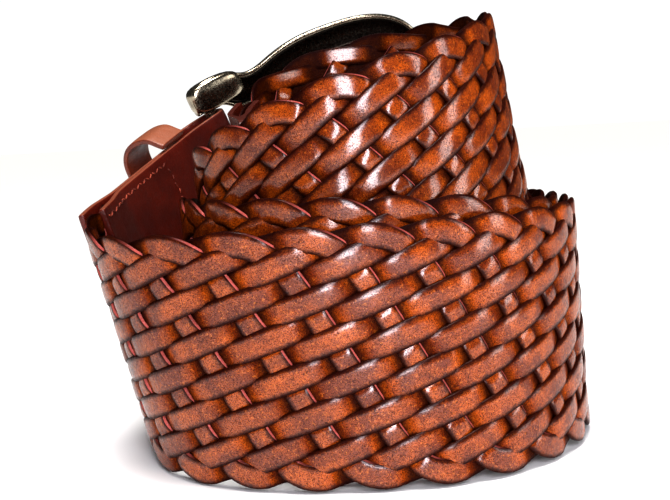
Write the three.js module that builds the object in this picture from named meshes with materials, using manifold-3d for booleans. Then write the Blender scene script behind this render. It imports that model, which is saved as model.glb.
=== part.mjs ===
// Wide braided leather belt, rolled up and standing on its edge.
// Millimetres, +Z up, the belt rests on the plane z = 0.
// The strap is a ruled ribbon: a mid-line through the ROUTE rows, and at each
// point of it a straight line across the belt's width, leaned by `lean`.
import * as THREE from 'three';
import Module from 'manifold-3d';

const wasm = await Module();
wasm.setup();

// ---------------------------------------------------------------- sizes (mm)
const BELT_WIDTH = 63.0;        // across the braid, edge to edge
const BRAID_THICK = 3.4;        // two crossing strands
const LEATHER = 1.8;            // one layer of the smooth leather
const GAP = 0.3;                // between pieces that touch
const REST_CUT = 0.0;           // height of the plane the lower edge is flattened on

const TAB_END = 80;             // from the bar's middle to the end of the smooth tab
const BRAID_START = 66.4;       // where the braid begins between the tab's two layers
const TIP_LENGTH = 34;          // smooth leather at the free end
const TIP_LAP = 12;             // how far the free end's leather covers the braid

const KEEPER = { from: 17.0, to: 29.0, stand: 15.5, rise: 3.6, corner: 7.5, thick: 1.9 };

const BAR_RADIUS = 2.0;
const FRAME = { bow: 140, thick: 3.4, bevel: 0.8, swing: 26 };   // swing: degrees in from the tab's line
const PRONG = { ring: 4.1, bore: 2.35, half: 3.4, radius: 1.9 };

// The mid-line, from the buckle's bar round the outer wrap, the middle wrap and
// the raised inner wrap to the free end. lean: degrees, top edge outward is +.
const ROUTE = [
  { at: 'bar',        x:  -25.9, y:   40.6, z:  61.9, lean:   8.8 },
  { at: 'tab',        x:  -41.8, y:   12.6, z:  47.8, lean:  11.0 },
  { at: 'tab end',    x:  -52.8, y:  -13.5, z:  38.0, lean:  11.0 },
  { at: 'outer W',    x:  -55.3, y:  -38.3, z:  32.6, lean:  13.0 },
  { at: 'outer SW',   x:  -44.1, y:  -60.6, z:  30.6, lean:  11.0 },
  { at: 'outer SSW',  x:  -22.1, y:  -72.9, z:  31.0, lean:   6.0 },
  { at: 'outer S',    x:    3.1, y:  -75.8, z:  31.1, lean:   2.0 },
  { at: 'outer SSE',  x:   28.1, y:  -71.3, z:  31.1, lean:  -2.0 },
  { at: 'outer SE',   x:   49.0, y:  -57.2, z:  31.1, lean:  -3.0 },
  { at: 'outer ESE',  x:   61.7, y:  -35.4, z:  31.1, lean:  -2.3 },
  { at: 'outer E',    x:   64.3, y:  -10.2, z:  31.1, lean:  -1.7 },
  { at: 'outer ENE',  x:   60.4, y:   13.6, z:  31.1, lean:   0.0 },
  { at: 'outer NE',   x:   45.9, y:   31.4, z:  31.1, lean:   0.0 },
  { at: 'outer NNE',  x:   22.9, y:   39.1, z:  31.1, lean:   0.0 },
  { at: 'outer N',    x:    0.0, y:   35.7, z:  31.1, lean:   0.0 },
  { at: 'outer NW',   x:  -18.7, y:   23.8, z:  31.5, lean:   0.0 },
  { at: 'middle WNW', x:  -33.1, y:    3.4, z:  33.2, lean:   0.0 },
  { at: 'middle W',   x:  -38.7, y:  -22.1, z:  35.7, lean:   0.0 },
  { at: 'middle SW',  x:  -32.3, y:  -48.4, z:  36.8, lean:   2.0 },
  { at: 'middle SSW', x:  -17.0, y:  -65.0, z:  37.1, lean:   3.0 },
  { at: 'middle S',   x:    2.5, y:  -71.0, z:  36.9, lean:   2.0 },
  { at: 'middle SSE', x:   25.5, y:  -67.1, z:  35.7, lean:  -1.3 },
  { at: 'middle SE',  x:   45.8, y:  -54.0, z:  33.6, lean:  -2.5 },
  { at: 'middle ESE', x:   57.6, y:  -33.7, z:  32.1, lean:  -2.0 },
  { at: 'middle E',   x:   59.9, y:  -10.2, z:  31.9, lean:  -1.9 },
  { at: 'middle ENE', x:   55.2, y:   11.9, z:  33.1, lean:  -1.9 },
  { at: 'middle NE',  x:   40.8, y:   28.1, z:  35.7, lean:   0.0 },
  { at: 'middle NNE', x:   20.4, y:   34.4, z:  38.2, lean:   0.0 },
  { at: 'middle N',   x:    0.1, y:   30.6, z:  39.9, lean:   0.6 },
  { at: 'middle NW',  x:  -16.4, y:   19.7, z:  40.8, lean:   1.0 },
  { at: 'inner WNW',  x:  -28.0, y:    3.0, z:  41.6, lean:   1.9 },
  { at: 'inner W',    x:  -33.6, y:  -18.7, z:  43.8, lean:   0.6 },
  { at: 'inner SW',   x:  -29.8, y:  -37.2, z:  49.3, lean:   2.0 },
  { at: 'inner SSW',  x:  -13.0, y:  -54.1, z:  57.5, lean:   0.0 },
  { at: 'inner S',    x:   10.4, y:  -58.1, z:  66.0, lean:  -2.5 },
  { at: 'inner SSE',  x:   32.6, y:  -48.5, z:  73.0, lean:  -5.3 },
  { at: 'inner SE',   x:   46.4, y:  -28.4, z:  79.3, lean:  -9.0 },
  { at: 'inner E',    x:   48.0, y:   -3.9, z:  82.6, lean:  -9.0 },
  { at: 'inner NE',   x:   40.8, y:   11.9, z:  82.9, lean:  -6.0 },
  { at: 'inner NNE',  x:   27.2, y:   22.9, z:  82.2, lean:  -3.0 },
  { at: 'inner N',    x:    6.2, y:   24.4, z:  78.2, lean:   3.0 },
  { at: 'inner NW',   x:   -9.2, y:   16.2, z:  70.1, lean:   4.0 },
  { at: 'tip WNW',    x:  -15.4, y:    4.9, z:  62.9, lean:   4.3 },
  { at: 'tip W',      x:  -20.6, y:   -9.0, z:  56.9, lean:   2.4 },
  { at: 'free end',   x:  -21.0, y:  -23.8, z:  54.4, lean:   0.6 },
];
// The whole part is moved by this, so that its box stands centred on the origin.
const CENTRE = { x: -0.35, y: 5.3 };

// Half of the frame's outline, along the belt from the bar (x) and out from its
// middle (t). The other half mirrors it.
const FRAME_OUTER = [
  { x: -4.4, t: 32.2 }, { x: -4.4, t: 38.4 }, { x: -3, t: 40.4 }, { x: 0, t: 41.3 }, { x: 4, t: 41.4 },
  { x: 9, t: 40.6 }, { x: 13, t: 39.0 }, { x: 16, t: 37.6 }, { x: 19, t: 37.3 }, { x: 25, t: 38.4 },
  { x: 32, t: 39.6 }, { x: 39, t: 39.9 }, { x: 46, t: 39.4 }, { x: 53, t: 38.5 }, { x: 60, t: 37 },
  { x: 67, t: 34 }, { x: 72, t: 29.6 }, { x: 75.5, t: 22 }, { x: 77, t: 12 },
];
const FRAME_INNER = [
  { x: 2.5, t: 32.2 }, { x: 6.0, t: 31.0 }, { x: 9, t: 28.4 }, { x: 14, t: 27.2 }, { x: 24, t: 28.0 }, { x: 37, t: 29.2 }, { x: 49, t: 29.0 },
  { x: 57, t: 27.6 }, { x: 63, t: 24.6 }, { x: 67, t: 20 }, { x: 69.6, t: 13 }, { x: 70.4, t: 6 },
];
const SHOULDER = { x0: -4.4, x1: 12.5, t0: 32.4, t1: 41.0, thick: 6.4, round: 1.6 };

// ------------------------------------------------------- the mid-line spline
function naturalSpline(u, v) {          // natural cubic through (u, v)
  const n = u.length, h = [], m = new Array(n).fill(0), c = [], g = [];
  for (let i = 0; i < n - 1; i++) h.push(u[i + 1] - u[i]);
  c[0] = 0; g[0] = 0;
  for (let i = 1; i < n - 1; i++) {
    const a = h[i - 1], b = 2 * (h[i - 1] + h[i]), q = h[i];
    const r = 6 * ((v[i + 1] - v[i]) / h[i] - (v[i] - v[i - 1]) / h[i - 1]);
    const w = b - a * c[i - 1];
    c[i] = q / w; g[i] = (r - a * g[i - 1]) / w;
  }
  for (let i = n - 2; i > 0; i--) m[i] = g[i] - c[i] * m[i + 1];
  return (x) => {
    let i = 0; while (i < n - 2 && x > u[i + 1]) i++;
    const t = x - u[i], k = h[i];
    const slope = (v[i + 1] - v[i]) / k - k * (2 * m[i] + m[i + 1]) / 6;
    return [v[i] + t * slope + t * t * m[i] / 2 + t * t * t * (m[i + 1] - m[i]) / (6 * k),
      slope + t * m[i] + t * t * (m[i + 1] - m[i]) / (2 * k)];
  };
}
const chord = [0];
for (let i = 1; i < ROUTE.length; i++) {
  const a = ROUTE[i - 1], b = ROUTE[i];
  chord.push(chord[i - 1] + Math.hypot(b.x - a.x, b.y - a.y, b.z - a.z));
}
const [fx, fy, fz, fl] = ['x', 'y', 'z', 'lean'].map((k) => naturalSpline(chord, ROUTE.map((r) => r[k])));
// arc length along the mid-line, in steps of 1 mm of chord
const STEP = 1, uTab = [0], sTab = [0];
{
  const speed = (u) => Math.hypot(fx(u)[1], fy(u)[1], fz(u)[1]);
  for (let u = STEP; u <= chord.at(-1); u += STEP) {
    sTab.push(sTab.at(-1) + STEP * (speed(u - STEP) + speed(u)) / 2); uTab.push(u);
  }
}
const LENGTH = sTab.at(-1);
// frame of the strap at arc length s: C middle, T along, D across (up), N outward
function strapAt(s) {
  const q = Math.min(Math.max(s, 0), LENGTH);
  let i = Math.min(Math.floor(q), sTab.length - 2);
  while (i > 0 && sTab[i] > q) i--;
  while (i < sTab.length - 2 && sTab[i + 1] < q) i++;
  const u = uTab[i] + STEP * (q - sTab[i]) / (sTab[i + 1] - sTab[i]);
  const [x, dx] = fx(u), [y, dy] = fy(u), [z, dz] = fz(u), lean = THREE.MathUtils.degToRad(fl(u)[0]);
  const T = new THREE.Vector3(dx, dy, dz).normalize();
  const n = new THREE.Vector3(T.y, -T.x, 0).normalize();
  const up = new THREE.Vector3().crossVectors(n, T); if (up.z < 0) up.negate();
  const D = up.clone().multiplyScalar(Math.cos(lean)).addScaledVector(n, Math.sin(lean));
  const N = n.clone().multiplyScalar(Math.cos(lean)).addScaledVector(up, -Math.sin(lean));
  const C = new THREE.Vector3(x + CENTRE.x, y + CENTRE.y, z).addScaledVector(T, s - q);
  return { C, T, D, N };
}
const strapPoint = (s, n, t) => {
  const f = strapAt(s);
  return f.C.clone().addScaledVector(f.N, n).addScaledVector(f.D, t);
};

// ------------------------------------------------------------- solid helpers
function toSolid(positions, triangles) {
  const build = (tri) => new wasm.Manifold(new wasm.Mesh({
    numProp: 3, vertProperties: new Float32Array(positions), triVerts: new Uint32Array(tri) }));
  let signed = 0;
  const P = (i) => new THREE.Vector3(positions[3 * i], positions[3 * i + 1], positions[3 * i + 2]);
  for (let i = 0; i < triangles.length; i += 3) {
    const a = P(triangles[i]), b = P(triangles[i + 1]), c = P(triangles[i + 2]);
    signed += a.dot(b.cross(c));
  }
  if (signed < 0) {
    const f = [];
    for (let i = 0; i < triangles.length; i += 3) f.push(triangles[i], triangles[i + 2], triangles[i + 1]);
    return build(f);
  }
  return build(triangles);
}
// a three.js geometry, with its corners moved by `place`, as a solid
function geometrySolid(geometry, place = (v) => v) {
  const p = geometry.getAttribute('position'), idx = geometry.getIndex();
  const key = new Map(), pos = [], tri = [], n = idx ? idx.count : p.count;
  for (let i = 0; i < n; i++) {
    const j = idx ? idx.getX(i) : i;
    const v = [p.getX(j), p.getY(j), p.getZ(j)];
    const k = v.map((c) => Math.round(c * 1e4)).join(',');
    if (!key.has(k)) {
      key.set(k, pos.length / 3);
      const w = place(new THREE.Vector3(...v)); pos.push(w.x, w.y, w.z);
    }
    tri.push(key.get(k));
  }
  const clean = [];
  for (let i = 0; i < tri.length; i += 3) {
    if (tri[i] !== tri[i + 1] && tri[i + 1] !== tri[i + 2] && tri[i] !== tri[i + 2]) clean.push(tri[i], tri[i + 1], tri[i + 2]);
  }
  return toSolid(pos, clean);
}
function subdivide(points, longest) {    // closed outline, no edge longer than `longest`
  const out = [];
  points.forEach((a, i) => {
    const b = points[(i + 1) % points.length], k = Math.max(1, Math.ceil(a.distanceTo(b) / longest));
    for (let j = 0; j < k; j++) out.push(a.clone().lerp(b, j / k));
  });
  return out;
}
// an outline in (s, n) along the strap, carried across the width from t0 to t1
function strapExtrude(outline, t0, t1, holes = [], longest = 3.6) {
  const shape = new THREE.Shape(subdivide(outline, longest));
  holes.forEach((h) => shape.holes.push(new THREE.Path(subdivide(h, longest))));
  const g = new THREE.ExtrudeGeometry(shape, { depth: t1 - t0, bevelEnabled: false, steps: 2 });
  return bent(geometrySolid(g), 8.5, (v) => strapPoint(v.x, v.y, v.z + t0));
}
// a flat solid, its edges split to `longest`, carried into place by `place`
function bent(flat, longest, place) {
  const m = flat.refineToLength(longest).getMesh(), k = m.numProp, pos = [];
  for (let i = 0; i < m.vertProperties.length; i += k) {
    const w = place(new THREE.Vector3(m.vertProperties[i], m.vertProperties[i + 1], m.vertProperties[i + 2]));
    pos.push(w.x, w.y, w.z);
  }
  return toSolid(pos, Array.from(m.triVerts));
}
const V2 = (x, y) => new THREE.Vector2(x, y);
const arc = (cx, cy, r, a0, a1, k) => Array.from({ length: k + 1 }, (_, i) => {
  const a = THREE.MathUtils.degToRad(a0 + (a1 - a0) * i / k);
  return V2(cx + r * Math.cos(a), cy + r * Math.sin(a));
});

// the half space over the plane that the belt stands on
const table = geometrySolid(new THREE.BoxGeometry(400, 400, 300).translate(0, 0, 150 + REST_CUT));

// ----------------------------------------------------------- the braided band
const BRAID_END = LENGTH - TIP_LENGTH + TIP_LAP;
function braidedBand() {
  const a = BRAID_THICK / 2, w = BELT_WIDTH / 2, c = 0.8;
  const section = [[-a, -w + c], [-a + c, -w], [a - c, -w], [a, -w + c], [a, w - c], [a - c, w], [-a + c, w], [-a, w - c]];
  const steps = Math.round((BRAID_END - BRAID_START) / 4), pos = [], tri = [], m = section.length;
  for (let i = 0; i <= steps; i++) {
    const f = strapAt(BRAID_START + (BRAID_END - BRAID_START) * i / steps);
    for (const [n, t] of section) {
      const p = f.C.clone().addScaledVector(f.N, n).addScaledVector(f.D, t); pos.push(p.x, p.y, p.z);
    }
  }
  for (let i = 0; i < steps; i++) for (let j = 0; j < m; j++) {
    const a0 = i * m + j, a1 = i * m + (j + 1) % m, b0 = a0 + m, b1 = a1 + m;
    tri.push(a0, a1, b1, a0, b1, b0);
  }
  for (let j = 1; j < m - 1; j++) {
    tri.push(0, j + 1, j);
    const e = steps * m; tri.push(e, e + j, e + j + 1);
  }
  return toSolid(pos, tri).intersect(table);
}

// ------------------------------------------- the smooth leather at the buckle
const SLOT = BRAID_THICK / 2 + GAP;              // half the space for the braid
const FORK = SLOT + LEATHER;                     // half the tab where it holds the braid
const LOOP = BAR_RADIUS + 0.5 + LEATHER;         // outside of the fold round the bar
function buckleTab() {
  const outline = [
    V2(TAB_END, FORK), V2(TAB_END - 11, FORK), V2(TAB_END - 19, LEATHER), V2(22, LEATHER),
    V2(18.5, 4.2), V2(14.5, 6.8), V2(9, 7.6), V2(4, 6.6), ...arc(0, 0.6, LOOP, 90, 285, 13),
    V2(12, -LEATHER), V2(TAB_END - 19, -LEATHER), V2(TAB_END - 11, -FORK), V2(TAB_END, -FORK),
    V2(TAB_END, -SLOT), V2(BRAID_START - GAP, -SLOT), V2(BRAID_START - GAP, SLOT), V2(TAB_END, SLOT),
  ];
  // the outer layer stands off the inner one before it turns round the bar
  const eye = [...arc(0, 0.6, BAR_RADIUS + 0.5, 90, 270, 12), V2(5, -1.1), V2(9, -0.2), V2(14, 0.1), V2(18.6, 0.3), V2(17.2, 2.6), V2(13.6, 4.9), V2(9, 5.7), V2(4, 4.8)];
  const half = BELT_WIDTH / 2 - 0.4;
  const tab = strapExtrude(outline, -half, half, [eye]);
  const notch = strapExtrude([V2(-9, -9), V2(7.5, -9), V2(7.5, 9), V2(-9, 9)], -PRONG.half - 1.2, PRONG.half + 1.2);
  return tab.subtract(notch);
}

// ------------------------------------------------------------ the keeper loop
function keeperLoop() {
  const k = KEEPER, w = BELT_WIDTH / 2 - 0.4 + GAP + k.rise, r = k.corner;
  const path = (o) => {                           // inside (o = 0) or outside (o = thick) in (n, t)
    const N = LEATHER + k.stand - 2 + o, T = w + o, q = r + o;
    return [V2(-LEATHER + 0.4, T - k.rise), V2(3.4, T), ...arc(N - q, T - q, q, 90, 0, 6), ...arc(N - q, -T + q, q, 0, -90, 6), V2(3.4, -T), V2(-LEATHER + 0.4, -T + k.rise)];
  };
  const outline = subdivide([...path(k.thick), ...path(0).reverse()], 8);
  const g = new THREE.ExtrudeGeometry(new THREE.Shape(outline), { depth: k.to - k.from, bevelEnabled: false, steps: 4 });
  return geometrySolid(g, (v) => strapPoint(k.from + v.z, v.x, v.y));
}

// ------------------------------------------------------- the buckle and prong
const bar = strapAt(0);
bar.C.addScaledVector(bar.N, 0.6);
const swing = THREE.MathUtils.degToRad(FRAME.swing);
const away = bar.T.clone().negate();              // from the tab through the bar
const X = away.clone().multiplyScalar(Math.cos(swing)).addScaledVector(bar.N, -Math.sin(swing));
const NX = bar.N.clone().multiplyScalar(Math.cos(swing)).addScaledVector(away, Math.sin(swing));
// the frame bends toward the coil: x along it, n outward, t along the bar
function framePoint(x, n, t) {
  const a = x / FRAME.bow, r = FRAME.bow + n;
  return bar.C.clone().addScaledVector(X, r * Math.sin(a)).addScaledVector(NX, r * Math.cos(a) - FRAME.bow).addScaledVector(bar.D, t);
}
function frameExtrude(points, thick, bevel, longest = 5) {
  const g = new THREE.ExtrudeGeometry(new THREE.Shape(subdivide(points, longest)), {
    depth: thick - 2 * bevel, bevelEnabled: true, bevelThickness: bevel, bevelSize: bevel, bevelOffset: -bevel, bevelSegments: 2, steps: 1 });
  g.translate(0, 0, -(thick - 2 * bevel) / 2);
  return geometrySolid(g, (v) => framePoint(v.x, v.z, v.y));
}
const mirrored = (rows) => [...rows.map((p) => V2(p.x, p.t)), ...[...rows].reverse().map((p) => V2(p.x, -p.t))];
function rod(length, radius, place) {
  const g = new THREE.CylinderGeometry(radius, radius, length, 24); // along local Y
  return geometrySolid(g, place);
}
function buckleFrame() {
  const outline = [...mirrored(FRAME_OUTER), ...mirrored(FRAME_INNER).reverse()];
  let solid = frameExtrude(outline, FRAME.thick, FRAME.bevel);
  const s = SHOULDER, o = 2.2;
  for (const side of [1, -1]) {
    const block = [V2(s.x0, s.t0), V2(s.x1 - 1, s.t0), V2(s.x1, s.t0 + 2), V2(s.x1 - 4.5, s.t1 - 0.8), V2(s.x1 - 9, s.t1), V2(s.x0 + o, s.t1), V2(s.x0, s.t1 - o)]
      .map((p) => V2(p.x, side * p.y));
    if (side < 0) block.reverse();
    solid = solid.add(frameExtrude(block, s.thick, s.round));
  }
  return solid.add(rod(2 * 36, BAR_RADIUS, (v) => bar.C.clone().addScaledVector(X, v.x).addScaledVector(NX, v.z).addScaledVector(bar.D, v.y)));
}
function buckleProng() {
  const p = PRONG, ring = new THREE.Shape(arc(0, 0, p.ring, 0, 360 * 23 / 24, 23));
  ring.holes.push(new THREE.Path(arc(0, 0, p.bore, 0, 360 * 23 / 24, 23)));
  const g = new THREE.ExtrudeGeometry(ring, { depth: 2 * p.half, bevelEnabled: false, steps: 1 });
  const eye = geometrySolid(g, (v) => bar.C.clone().addScaledVector(X, v.x).addScaledVector(NX, v.y).addScaledVector(bar.D, v.z - p.half));
  const lift = FRAME.thick / 2 + GAP + p.radius;
  const line = [[3.1, 0.8], [7, 1.8], [18, 2.8], [37, 3.2], [57, lift - 0.3], [69, lift + 0.1], [75.6, lift]].map(([x, n]) => framePoint(x, n, 0));
  const section = new THREE.Shape(arc(0, 0, p.radius, 0, 360 * 11 / 12, 11));
  const shank = geometrySolid(new THREE.ExtrudeGeometry(section, { steps: 28, bevelEnabled: false, extrudePath: new THREE.CatmullRomCurve3(line) }));
  return eye.add(shank);
}

// --------------------------------------------------------------- the free end
function tipTab() {
  const a = LENGTH - TIP_LENGTH, b = LENGTH, mouth = a + TIP_LAP + GAP;
  const outline = [
    V2(a, FORK), V2(a, SLOT), V2(mouth, SLOT), V2(mouth, -SLOT), V2(a, -SLOT), V2(a, -FORK),
    V2(a + 10, -FORK), V2(a + 16, -LEATHER), V2(b, -LEATHER), V2(b, LEATHER), V2(a + 16, LEATHER), V2(a + 10, FORK),
  ];
  const half = BELT_WIDTH / 2 - 0.4;
  let tip = strapExtrude(outline, -half, half);
  for (const side of [1, -1]) {                   // the free end's two rounded corners
    const r = 14, cut = [V2(b - r, side * (half + 2)), V2(b - r, side * half), ...arc(b - r, side * (half - r), r, side * 90, 0, 8), V2(b + 2, side * (half - r)), V2(b + 2, side * (half + 2))];
    if (side < 0) cut.reverse();
    const shape = new THREE.Shape(cut);
    const g = new THREE.ExtrudeGeometry(shape, { depth: 12, bevelEnabled: false, steps: 1 });
    tip = tip.subtract(geometrySolid(g, (v) => strapPoint(v.x, v.z - 6, v.y)));
  }
  return tip;
}

// -------------------------------------------------------------------- the part
function meshOf(name, solid, colour, roughness, metalness) {
  const m = solid.getMesh(), g = new THREE.BufferGeometry(), k = m.numProp;
  const p = new Float32Array(m.vertProperties.length / k * 3);
  for (let i = 0; i < p.length / 3; i++) for (let j = 0; j < 3; j++) p[3 * i + j] = m.vertProperties[k * i + j];
  g.setAttribute('position', new THREE.BufferAttribute(p, 3));
  g.setIndex(new THREE.BufferAttribute(new Uint32Array(m.triVerts), 1));
  g.computeVertexNormals();
  const mesh = new THREE.Mesh(g, new THREE.MeshStandardMaterial({ color: colour, roughness, metalness }));
  mesh.name = name;
  return mesh;
}
const group = new THREE.Group();
group.name = 'braided_belt';
group.add(
  meshOf('braided_band', braidedBand(), 0x8a3f1c, 0.42, 0.0),
  meshOf('buckle_tab', buckleTab(), 0x5c1d0c, 0.45, 0.0),
  meshOf('keeper_loop', keeperLoop(), 0x8f4a2a, 0.5, 0.0),
  meshOf('buckle_frame', buckleFrame(), 0xb8b4a8, 0.28, 1.0),
  meshOf('buckle_prong', buckleProng(), 0xb8b4a8, 0.3, 1.0),
  meshOf('tip_tab', tipTab(), 0x6a2410, 0.48, 0.0),
);

export default group;
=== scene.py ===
"""Looks for the rolled braided leather belt: strands, leather, stitches, metal, light and camera."""
import bpy, math
import numpy as np
from mathutils import Vector, Matrix


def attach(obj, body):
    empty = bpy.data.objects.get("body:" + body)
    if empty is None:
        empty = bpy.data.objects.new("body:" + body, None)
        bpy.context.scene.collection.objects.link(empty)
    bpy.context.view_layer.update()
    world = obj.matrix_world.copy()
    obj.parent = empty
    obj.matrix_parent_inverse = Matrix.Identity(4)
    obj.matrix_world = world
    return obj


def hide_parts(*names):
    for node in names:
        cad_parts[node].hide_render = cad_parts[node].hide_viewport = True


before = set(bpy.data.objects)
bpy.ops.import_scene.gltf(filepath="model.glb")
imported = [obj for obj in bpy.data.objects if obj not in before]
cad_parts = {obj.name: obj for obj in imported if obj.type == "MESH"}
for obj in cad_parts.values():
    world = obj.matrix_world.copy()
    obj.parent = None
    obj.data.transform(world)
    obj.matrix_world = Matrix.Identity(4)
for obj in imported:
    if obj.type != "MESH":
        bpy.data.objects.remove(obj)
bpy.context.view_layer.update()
MM = 0.001
CENTRE = np.array([-0.35, 5.3, 0.0])

# ------------------------------------------------------------------ the camera
cam = bpy.data.objects.new("camera", bpy.data.cameras.new("camera"))
bpy.context.scene.collection.objects.link(cam)
RT, UP, FW = Vector((0.99863, -0.00547, -0.05205)), Vector((0.05234, 0.10438, 0.99316)), Vector((0.0, 0.99452, -0.10453))
m = Matrix.Identity(4)
for r in range(3):
    m[r][0], m[r][1], m[r][2] = RT[r], UP[r], -FW[r]
m.translation = Vector((CENTRE[0] * MM, (CENTRE[1] - 314.5) * MM, 80.75 * MM))
cam.matrix_world = m
cam.data.sensor_width = 36.0
cam.data.lens = 1086.0 / 670.0 * 36.0
cam.data.clip_start, cam.data.clip_end = 0.01, 100.0
bpy.context.scene.camera = cam

# ------------------------------------- the strap's route, as the solids have it
BELT_WIDTH, BRAID_THICK, LEATHER, GAP = 63.0, 3.4, 1.8, 0.3
TAB_END, BRAID_START, TIP_LENGTH, TIP_LAP = 80.0, 66.4, 34.0, 12.0
KEEPER = dict(start=17.0, end=29.0, stand=15.5, rise=3.6, corner=7.5, thick=1.9)
BAR_RADIUS = 2.0
FRAME = dict(bow=140.0, thick=3.4, swing=26.0)
# name, x, y, z, lean (degrees, top edge outward is +)
ROUTE = [
    ("bar", -25.9, 40.6, 61.9, 8.8), ("tab", -41.8, 12.6, 47.8, 11.0), ("tab end", -52.8, -13.5, 38.0, 11.0),
    ("outer W", -55.3, -38.3, 32.6, 13.0), ("outer SW", -44.1, -60.6, 30.6, 11.0), ("outer SSW", -22.1, -72.9, 31.0, 6.0),
    ("outer S", 3.1, -75.8, 31.1, 2.0), ("outer SSE", 28.1, -71.3, 31.1, -2.0), ("outer SE", 49.0, -57.2, 31.1, -3.0),
    ("outer ESE", 61.7, -35.4, 31.1, -2.3), ("outer E", 64.3, -10.2, 31.1, -1.7), ("outer ENE", 60.4, 13.6, 31.1, 0.0),
    ("outer NE", 45.9, 31.4, 31.1, 0.0), ("outer NNE", 22.9, 39.1, 31.1, 0.0), ("outer N", 0.0, 35.7, 31.1, 0.0),
    ("outer NW", -18.7, 23.8, 31.5, 0.0), ("middle WNW", -33.1, 3.4, 33.2, 0.0), ("middle W", -38.7, -22.1, 35.7, 0.0),
    ("middle SW", -32.3, -48.4, 36.8, 2.0), ("middle SSW", -17.0, -65.0, 37.1, 3.0), ("middle S", 2.5, -71.0, 36.9, 2.0),
    ("middle SSE", 25.5, -67.1, 35.7, -1.3), ("middle SE", 45.8, -54.0, 33.6, -2.5), ("middle ESE", 57.6, -33.7, 32.1, -2.0),
    ("middle E", 59.9, -10.2, 31.9, -1.9), ("middle ENE", 55.2, 11.9, 33.1, -1.9), ("middle NE", 40.8, 28.1, 35.7, 0.0),
    ("middle NNE", 20.4, 34.4, 38.2, 0.0), ("middle N", 0.1, 30.6, 39.9, 0.6), ("middle NW", -16.4, 19.7, 40.8, 1.0),
    ("inner WNW", -28.0, 3.0, 41.6, 1.9), ("inner W", -33.6, -18.7, 43.8, 0.6), ("inner SW", -29.8, -37.2, 49.3, 2.0),
    ("inner SSW", -13.0, -54.1, 57.5, 0.0), ("inner S", 10.4, -58.1, 66.0, -2.5), ("inner SSE", 32.6, -48.5, 73.0, -5.3),
    ("inner SE", 46.4, -28.4, 79.3, -9.0), ("inner E", 48.0, -3.9, 82.6, -9.0), ("inner NE", 40.8, 11.9, 82.9, -6.0),
    ("inner NNE", 27.2, 22.9, 82.2, -3.0), ("inner N", 6.2, 24.4, 78.2, 3.0), ("inner NW", -9.2, 16.2, 70.1, 4.0),
    ("tip WNW", -15.4, 4.9, 62.9, 4.3), ("tip W", -20.6, -9.0, 56.9, 2.4), ("free end", -21.0, -23.8, 54.4, 0.6),
]


def natural_spline(u, v):
    """Value and slope of the natural cubic through (u, v)."""
    n = len(u)
    h = np.diff(u)
    a = np.zeros((n, n))
    b = np.zeros(n)
    a[0, 0] = a[-1, -1] = 1.0
    for i in range(1, n - 1):
        a[i, i - 1], a[i, i], a[i, i + 1] = h[i - 1], 2 * (h[i - 1] + h[i]), h[i]
        b[i] = 6 * ((v[i + 1] - v[i]) / h[i] - (v[i] - v[i - 1]) / h[i - 1])
    mm = np.linalg.solve(a, b)

    def f(x):
        i = np.clip(np.searchsorted(u, x) - 1, 0, n - 2)
        t, k = x - u[i], h[i]
        s = (v[i + 1] - v[i]) / k - k * (2 * mm[i] + mm[i + 1]) / 6
        return v[i] + t * s + t * t * mm[i] / 2 + t ** 3 * (mm[i + 1] - mm[i]) / (6 * k), s + t * mm[i] + t * t * (mm[i + 1] - mm[i]) / (2 * k)

    return f


_R = np.array([row[1:] for row in ROUTE], float)
_CH = np.r_[0.0, np.cumsum(np.linalg.norm(np.diff(_R[:, :3], axis=0), axis=1))]
_F = [natural_spline(_CH, _R[:, i]) for i in range(4)]
_U = np.arange(0, math.floor(_CH[-1]) + 1, 1.0)
_SP = np.sqrt(sum(_F[i](_U)[1] ** 2 for i in range(3)))
_S = np.r_[0.0, np.cumsum((_SP[1:] + _SP[:-1]) / 2)]
LENGTH = _S[-1]
BRAID_END = LENGTH - TIP_LENGTH + TIP_LAP


def unit(v):
    return v / np.maximum(np.linalg.norm(v, axis=-1, keepdims=True), 1e-12)


def strap(s):
    """Middle, along, across and outward at arc lengths s (mm)."""
    s = np.atleast_1d(np.asarray(s, float))
    q = np.clip(s, 0, LENGTH)
    u = np.interp(q, _S, _U)
    v = [f(u) for f in _F]
    T = unit(np.stack([v[0][1], v[1][1], v[2][1]], -1))
    lean = np.radians(v[3][0])[:, None]
    n = unit(np.stack([T[:, 1], -T[:, 0], 0 * T[:, 0]], -1))
    up = np.cross(n, T)
    up *= np.sign(up[:, 2:3])
    D = up * np.cos(lean) + n * np.sin(lean)
    N = n * np.cos(lean) - up * np.sin(lean)
    C = np.stack([v[0][0], v[1][0], v[2][0]], -1) + CENTRE + T * (s - q)[:, None]
    return C, T, D, N


def strap_point(s, n, t):
    s, n, t = np.broadcast_arrays(np.asarray(s, float), np.asarray(n, float), np.asarray(t, float))
    C, T, D, N = strap(s.ravel())
    return (C + N * n.ravel()[:, None] + D * t.ravel()[:, None]).reshape(s.shape + (3,))


def arc_of(name):
    """Arc length of a row of the table."""
    i = [row[0] for row in ROUTE].index(name)
    return float(np.interp(_CH[i], _U, _S))


# ---------------------------------------------------------------- mesh helpers
def new_object(name, mesh):
    ob = bpy.data.objects.new(name, mesh)
    bpy.context.scene.collection.objects.link(ob)
    return ob


def mesh_from(name, verts, faces, attrs=None, smooth=True):
    """Mesh from arrays; faces is a list of index tuples or an (n, 4) array; verts in mm."""
    me = bpy.data.meshes.new(name)
    me.from_pydata((np.asarray(verts) * MM).tolist(), [], faces.tolist() if isinstance(faces, np.ndarray) else faces)
    for key, val in (attrs or {}).items():
        a = me.attributes.new(key, "FLOAT", "POINT")
        a.data.foreach_set("value", np.asarray(val, np.float32))
    if smooth:
        me.polygons.foreach_set("use_smooth", np.ones(len(me.polygons), bool))
    me.update()
    me.validate()
    return me


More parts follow.
